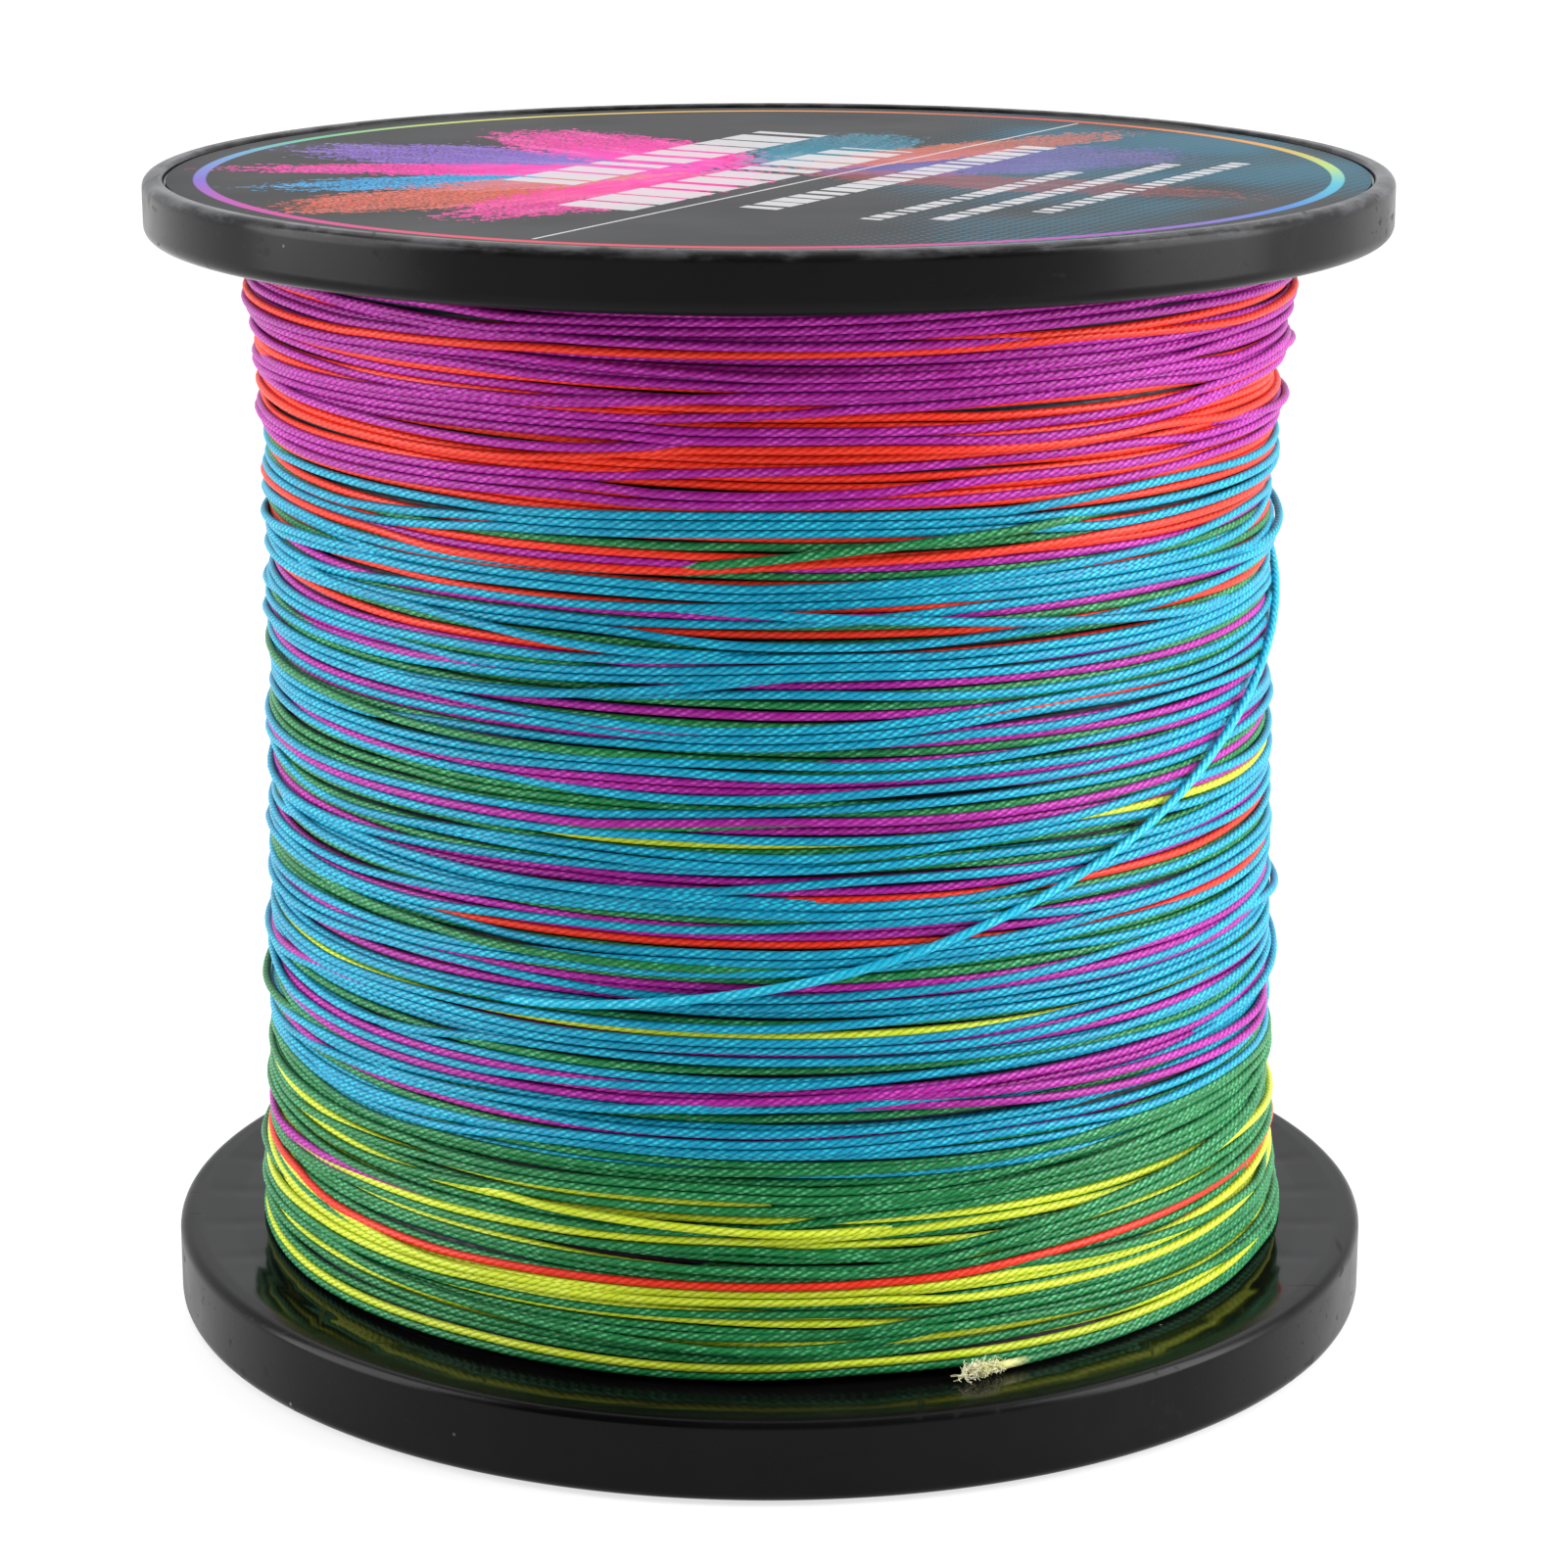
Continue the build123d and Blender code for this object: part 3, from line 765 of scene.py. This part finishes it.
def on_cylinder(angle, z, radius):
    """The points at those places, and the outward directions there."""
    points = np.stack([radius * np.cos(angle), radius * np.sin(angle), z], axis=1)
    return points, np.stack([np.cos(angle), np.sin(angle), np.zeros_like(angle)], axis=1)


def stretches(colours):
    """The stretches of one colour along a strand, as (colour, first, end). Each reaches one point into the
    next one, so that no gap shows."""
    first = 0
    for i in range(1, len(colours) + 1):
        if i < len(colours) and colours[i] == colours[first]:
            continue
        if colours[first] is not None and i - first > 3:
            meets = i < len(colours) and colours[i] is not None
            yield colours[first], first, i + 1 if meets else i
        first = i


def lay(tubes, strands, pitches, hand, phase, field, spacing, depth, bulge, colour_at):
    """Adds a wound layer to the tubes of each colour. colour_at(strand, height) names the colour, which
    changes only behind the spool, near +Y. Returns the last strand's angle, height and radius."""
    rng = np.random.default_rng(17)
    scatter = 1.1                   # of the colour changes to each side of +Y, in radians
    settle = 0.12 * MM              # how far a loose strand sinks
    angle, heights, low, high = wind(strands, pitches, hand, phase, field, spacing)
    loose = spread_of(heights, strands)
    first, last = math.floor(angle.min() / 2 / math.pi), math.ceil(angle.max() / 2 / math.pi)
    seams = math.pi / 2 + 2 * math.pi * np.arange(first - 1, last + 2)
    for m in range(strands):
        lap = np.searchsorted(seams + rng.uniform(-scatter, scatter, len(seams)), angle)
        z = heights[m]
        radius = surface(np.clip(z, low, high)) - LINE_RADIUS - depth
        radius = radius + bulge(angle, z) - settle * loose[m]
        points, outward = on_cylinder(angle, z, radius)
        inside = (z >= low - 0.05 * MM) & (z <= high + 0.05 * MM)
        middle = {k: float(np.median(z[lap == k])) for k in set(lap.tolist())}
        colours = [colour_at(m, middle[k]) if ok else None for k, ok in zip(lap.tolist(), inside)]
        for colour, start, end in stretches(colours):
            tubes[colour].add(points[start:end], outward[start:end], LINE_RADIUS, start * STEP_RUN)
    return angle, z, radius


# Laps of the outer layer with a colour of their own, in millimetres: height, reach to each side, colour.
OUTER_TURNS = (
    (7.3, 0.35, "yellow"), (11.9, 0.95, "yellow"), (13.1, 0.25, "red"), (16.2, 0.50, "yellow"),
    (26.3, 0.50, "purple"), (45.4, 0.50, "purple"), (57.2, 0.50, "green"), (62.9, 0.50, "red"),
    (69.5, 0.45, "red"), (76.6, 0.45, "red"),
)


def outer_colour(strand, height):
    for middle, reach, name in OUTER_TURNS:
        if abs(height / MM - middle) < reach:
            return name
    if height > BLUE_TO:
        return "purple"
    return "blue" if height > BLUE_FROM else "green"


# The colours of each strand of the second layer, each from that height in millimetres up.
UNDER = (
    ((57.0, "red"), (36.0, "purple"), (9.6, "green"), (8.0, "red"), (0.0, "yellow")),
    ((73.0, "purple"), (66.0, "red"), (34.0, "green"), (21.5, "blue"), (0.0, "yellow")),
    ((76.0, "purple"), (66.5, "red"), (46.0, "purple"), (34.0, "green"), (24.0, "purple"), (0.0, "green")),
    ((75.0, "purple"), (54.0, "red"), (40.0, "green"), (34.0, "red"), (22.0, "purple"), (13.0, "green"),
     (0.0, "yellow")),
    ((73.0, "purple"), (66.5, "red"), (52.0, "green"), (45.0, "purple"), (42.2, "yellow"), (31.0, "purple"),
     (28.5, "yellow"), (20.8, "blue"), (12.8, "yellow"), (11.8, "red"), (0.0, "yellow")),
)


def under_colour(strand, height):
    return next(name for floor, name in UNDER[strand] if height > floor * MM)


def both(one, two):
    return lambda angle, height: one(angle, height) + two(angle, height)


def toward_ends(middle, ends):
    """One field in the middle of the winding, another near its flanges."""
    def field(angle, height):
        share = (height - BOTTOM) / (TOP - BOTTOM)
        mix = np.clip((np.abs(share - 0.5) - 0.26) / 0.08, 0.0, 1.0)
        return middle(angle, height) * (1 - mix) + ends(angle, height) * mix
    return field


def lap_near(path, angle, height):
    """The whole turns to add to an angle for the lap of a wound path that passes nearest to that height
    there."""
    first = math.ceil((path[0][0] - angle) / (2 * math.pi))
    last = math.floor((path[0][-1] - angle) / (2 * math.pi))
    laps = 2 * math.pi * np.arange(first, last + 1)
    return float(laps[np.argmin(np.abs(np.interp(angle + laps, path[0], path[1]) - height))])


def ease(t):
    return t * t * (3 - 2 * t)


def stray(path, bulge, start, stop, low, high, beside=0):
    """A part-turn that comes up from under one lap of the outer layer, lies slantwise over its neighbours
    and goes down under another lap. It is given in degrees from -Y towards +X and in millimetres. Returns
    its angle, height and radius, in radians and metres, and how far it has risen, from 0 to 1."""
    t = np.linspace(0, 1, int(abs(stop - start) / 360 * STEPS * 1.6) + 12)
    angle = np.radians(start + (stop - start) * t - 90.0)
    ends = []
    for at, height in ((0, low), (-1, high)):
        lap = lap_near(path, angle[at], height * MM) + beside * 2 * math.pi
        ends.append((np.interp(angle + lap, path[0], path[1]), np.interp(angle + lap, path[0], path[2])))
    (z_from, r_from), (z_to, r_to) = ends
    share = np.clip((t - 0.05) / 0.90, 0.0, 1.0)
    share = 0.35 * share + 0.65 * ease(share)
    z = z_from + (z_to - z_from) * share
    off = np.minimum(np.abs(z - z_from), np.abs(z_to - z)) / (2.2 * LINE_RADIUS)
    rise = ease(np.clip(off, 0.0, 1.0))
    dive = 1.0 - np.clip(np.minimum(t, 1.0 - t) / 0.06, 0.0, 1.0)
    below = r_from + (r_to - r_from) * share - (1.75 + 3.2 * dive) * LINE_RADIUS
    above = surface(z) + bulge(angle, z) + 0.48 * LINE_RADIUS
    return angle, z, below + (above - below) * rise, rise


RASTER = 4                      # degrees between the places where strays are kept apart
PLACES = 360 // RASTER


def strays(tubes, path, bulge, taken, plan):
    """Scatters part-turns over the winding, none across another. Each row of the plan gives a colour, how
    many to try, the heights between which they lie and how far one may climb."""
    rng = np.random.default_rng(44)
    for colour, count, low, high, steepest in plan:
        for _ in range(count):
            start, span = rng.uniform(0, 360), rng.uniform(75, 170)
            begin = rng.uniform(low, high)
            end = begin + rng.choice((-1, 1)) * rng.uniform(1.0, 1.0 + steepest)
            strands = 2 if rng.uniform() < 0.25 else 1
            if not low - 1.0 < end < high + 1.0:
                continue
            laid = [stray(path, bulge, start, start + span, begin, end, m) for m in range(strands)]
            steps = np.arange(math.ceil(start / RASTER), math.floor((start + span) / RASTER))
            marks = []
            for angle, z, _, rise in laid:
                degrees = np.degrees(angle) + 90.0
                there, up = (np.interp(steps * float(RASTER), degrees, along) for along in (z, rise))
                marks += [(int(k) % PLACES, h) for k, h, u in zip(steps, there, up) if u > 0.3]
            if any(abs(h - other) < 2.3 * LINE_RADIUS for k, h in marks for other in taken[k]):
                continue
            for k, h in marks:
                taken[k].append(h)
            for angle, z, radius, _ in laid:
                tubes[colour].add(*on_cylinder(angle, z, radius), LINE_RADIUS, start * 3.0 * MM)


# Pitches of the outer layer in millimetres, against the share of its height.
OUTER_PITCH = (
    (0.0, 0.64), (0.03, 0.66), (0.06, 0.96), (0.18, 0.98), (0.24, 1.06), (0.76, 1.04), (0.83, 0.98),
    (0.94, 0.96), (1.0, 0.66),
)
UNDER_PITCH = ((0.0, 0.665), (1.0, 0.665))
# The part-turns over the winding, for strays().
STRAYS = (
    ("purple", 16, 67.5, 80.0, 1.8), ("red", 4, 67.5, 80.0, 0.8), ("blue", 40, 21.5, 66.0, 2.4),
    ("green", 16, 26.0, 64.0, 1.0), ("purple", 16, 24.0, 64.0, 1.0), ("red", 3, 32.0, 64.0, 1.0),
    ("green", 16, 7.5, 20.5, 1.8), ("yellow", 7, 7.5, 21.0, 0.9), ("red", 6, 8.5, 13.5, 0.8),
    ("purple", 6, 11.0, 19.0, 0.8),
)


def in_metres(pitches):
    return tuple((share, pitch * MM) for share, pitch in pitches)


def wound_line():
    """Both layers and the part-turns over them, as tubes of each colour."""
    tubes = {name: Tubes(8) for name in LINE}
    swell = waves(21, 18, 3.0, 9.0, 0.14 * MM, 5)
    uneven = waves(33, 20, 1.3, 2.7, 0.08 * MM, 6)
    drift = waves(6, 18, 3.0, 9.0, 0.20 * MM, 9)
    gather = toward_ends(waves(5, 22, 2.5, 5.2, 0.47 * MM, 3), waves(8, 22, 3.2, 5.6, 0.70 * MM, 3))
    cross = waves(11, 22, 2.2, 6.0, 0.22 * MM, 5)
    path = lay(tubes, 1, in_metres(OUTER_PITCH), hand=1, phase=math.radians(-15.0), field=both(gather, drift),
               spacing=1.92 * LINE_RADIUS, depth=0.0, bulge=both(swell, uneven), colour_at=outer_colour)
    lay(tubes, 5, in_metres(UNDER_PITCH), hand=-1, phase=1.9, field=cross, spacing=1.90 * LINE_RADIUS,
        depth=0.40 * MM, bulge=swell, colour_at=under_colour)
    taken = {k: [] for k in range(PLACES)}
    for x, y, z in crossing_points:
        here = math.degrees(math.atan2(y, x)) + 90.0
        for k in (math.floor(here / RASTER), math.ceil(here / RASTER)):
            taken[k % PLACES].append(z)
    strays(tubes, path, swell, taken, STRAYS)
    return tubes


def buried_pack():
    """The rest of the line: a ring from the barrel out to a ripple under the second layer."""
    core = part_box("core_barrel")[1].x + 0.15 * MM
    depth, valley = 1.10 * MM, 0.28 * MM
    count = int((TOP - BOTTOM) / BURIED_PITCH)
    ripple = []
    for k in range(count):
        for share, inset in ((0.0, valley), (0.22, 0.06 * MM), (0.5, 0.0), (0.78, 0.06 * MM)):
            z = BOTTOM + (TOP - BOTTOM) * (k + share) / count
            ripple.append((float(surface(z)) - depth - inset, z))
    ripple += [(float(surface(TOP)) - depth - valley, TOP), (core, TOP), (core, BOTTOM)]
    return add_mesh("buried_line_pack", *turned(ripple[::-1], 72), under_material())


for name, bundle in wound_line().items():
    piece = bundle.build("wound_" + name + "_line", LINE[name])
    stand_for(piece, "line_" + name + "_stretch")
stand_for(buried_pack(), "line_inner_pack")


# ---------------------------------------------------------------- mouldings, label, card, tape

# Radii and a height that both flanges share, in millimetres, as in the CAD.
BORE, SOCKET_IN, SOCKET_OUT, SOCKET_DEPTH = 5.2, 19.55, 21.15, 3.0
SHARP = 0.1                     # rounding of the corners that the CAD leaves sharp
RIBS = 36


def dress(node, material):
    for slot in NODES[node].material_slots:
        slot.material = material


def upper_moulding(material):
    """Web, skirt, lip round the label and socket ring, with the CAD's radii and heights in millimetres. The
    lip's two edges are rounded a little less than there."""
    edge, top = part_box("upper_flange")[1].x / MM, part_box("upper_flange")[1].z / MM
    seat, under, rim = top - 0.5, top - 2.7, top - 4.2
    lip, skirt = edge - 1.5, edge - 2.4
    outline = rounded((
        (BORE, seat, SHARP), (lip, seat, SHARP), (lip, top, 0.35), (edge, top, 0.7), (edge, rim, 0.9),
        (skirt, rim, 0.5), (skirt, under, 0.5), (SOCKET_OUT, under, SHARP),
        (SOCKET_OUT, under - SOCKET_DEPTH, SHARP), (SOCKET_IN, under - SOCKET_DEPTH, SHARP),
        (SOCKET_IN, under, SHARP), (BORE, under, SHARP),
    ))
    return add_mesh("moulded_upper_flange", *turned(outline, 288), material)


def lower_moulding(material):
    """Web with a soft lip, deep rim, hub, socket ring and ribs under the web, in millimetres. Over each rib
    the plastic has shrunk into a faint sink mark."""
    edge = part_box("lower_flange")[1].x / MM
    skirt, hub, web, lip, under, rib = edge - 2.5, 8.0, 5.8, 6.0, 3.7, 1.6
    half_rib, rib_from, root = 0.45, 28.0, 0.4
    sink, sink_from, sink_to = 0.022, edge - 8.0, edge - 1.4
    outline = rounded((
        (BORE, web, SHARP), (SOCKET_IN, web, SHARP), (SOCKET_IN, web + SOCKET_DEPTH, SHARP),
        (SOCKET_OUT, web + SOCKET_DEPTH, SHARP), (SOCKET_OUT, web, SHARP), (edge - 4.4, web, 7.0),
        (edge - 1.6, lip, 5.0), (edge, lip, 0.75), (edge, 0.0, 0.8), (skirt, 0.0, 0.5),
        (skirt, under, 0.5), (hub, under, SHARP), (hub, rib, SHARP), (BORE, rib, SHARP),
    ))
    verts, faces = turned(outline, 720)
    radius, angle = np.hypot(verts[:, 0], verts[:, 1]) / MM, np.arctan2(verts[:, 1], verts[:, 0])
    comb = np.clip((np.cos(RIBS * angle) - 0.1) / 0.9, 0.0, 1.0) ** 2
    reach = np.clip((radius - sink_from) / 3.0, 0.0, 1.0) * np.clip((sink_to - radius) / 1.6, 0.0, 1.0)
    verts[:, 2] -= np.where(verts[:, 2] > (web - 0.3) * MM, sink * MM * comb * reach, 0.0)
    verts = verts.tolist()
    for k in range(RIBS):
        turn = 2 * math.pi * k / RIBS
        base = len(verts)
        for r in (rib_from, skirt + root):
            for side in (-half_rib, half_rib):
                for z in (rib, under + root):
                    x = r * math.cos(turn) - side * math.sin(turn)
                    y = r * math.sin(turn) + side * math.cos(turn)
                    verts.append((x * MM, y * MM, z * MM))
        for quad in ((0, 1, 3, 2), (4, 6, 7, 5), (0, 4, 5, 1), (2, 3, 7, 6), (0, 2, 6, 4), (1, 5, 7, 3)):
            faces.append([base + v for v in quad])
    return add_mesh("moulded_lower_flange", verts, faces, material)


moulding = plastic_material()
stand_for(upper_moulding(moulding), "upper_flange")
stand_for(lower_moulding(moulding), "lower_flange")
dress("core_barrel", moulding)
dress("upper_label", label_material())
dress("lower_label", card_material())
dress("anchor_tape", tape_material())


# ---------------------------------------------------------------- studio

FLOOR_REACH = 6.0
SUN_POWER, SUN_SPREAD = 1.9, math.radians(75.0)
BOX_AIM = Vector((0.0, 0.0, 0.04))
BOX_SIZE = (0.42, 0.60)
BOXES = (
    ("left_box", (-0.60, -0.08, 0.26), 5.4),
    ("right_box", (0.58, -0.12, 0.28), 7.6),
)


def make_floor():
    corners = [(x * FLOOR_REACH, y * FLOOR_REACH, 0) for x, y in ((-1, -1), (1, -1), (1, 1), (-1, 1))]
    floor = add_mesh("studio_floor", corners, [[0, 1, 2, 3]], floor_material(), smooth=False)
    floor.location.z = cad_low.z - 0.2 * MM


def make_world():
    """Light that grows from the front to the back, and plain white where the camera sees it."""
    world = bpy.data.worlds.new("studio")
    world.use_nodes = True
    tree = world.node_tree
    coord = tree.nodes.new("ShaderNodeTexCoord")
    parts = tree.nodes.new("ShaderNodeSeparateXYZ")
    fall = tree.nodes.new("ShaderNodeMapRange")
    fall.interpolation_type = "SMOOTHSTEP"
    for socket, number in zip(list(fall.inputs)[1:5], (-0.6, 0.5, 0.02, 0.95)):
        socket.default_value = number
    path = tree.nodes.new("ShaderNodeLightPath")
    seen = tree.nodes.new("ShaderNodeMix")
    seen.inputs[3].default_value = 1.05
    background = tree.nodes["Background"]
    background.inputs[0].default_value = (0.97, 0.98, 1.0, 1.0)
    tree.links.new(coord.outputs["Generated"], parts.inputs[0])
    tree.links.new(parts.outputs[1], fall.inputs[0])
    tree.links.new(path.outputs["Is Camera Ray"], seen.inputs[0])
    tree.links.new(fall.outputs[0], seen.inputs[2])
    tree.links.new(seen.outputs[0], background.inputs[1])
    bpy.context.scene.world = world


def make_lights():
    """A broad sun overhead and a soft box at each side."""
    sun = bpy.data.lights.new("overhead", "SUN")
    sun.energy = SUN_POWER
    sun.angle = SUN_SPREAD
    lamp = bpy.data.objects.new("overhead", sun)
    lamp.rotation_euler = (math.radians(-20.0), math.radians(6.0), 0.0)
    bpy.context.scene.collection.objects.link(lamp)
    for name, place, power in BOXES:
        data = bpy.data.lights.new(name, "AREA")
        data.shape = "RECTANGLE"
        data.size, data.size_y = BOX_SIZE
        data.energy = power
        lamp = bpy.data.objects.new(name, data)
        lamp.location = place
        lamp.rotation_euler = (Vector(place) - BOX_AIM).to_track_quat("Z", "Y").to_euler()
        bpy.context.scene.collection.objects.link(lamp)


make_floor()
make_world()
make_lights()
bpy.context.scene.view_settings.view_transform = "Standard"
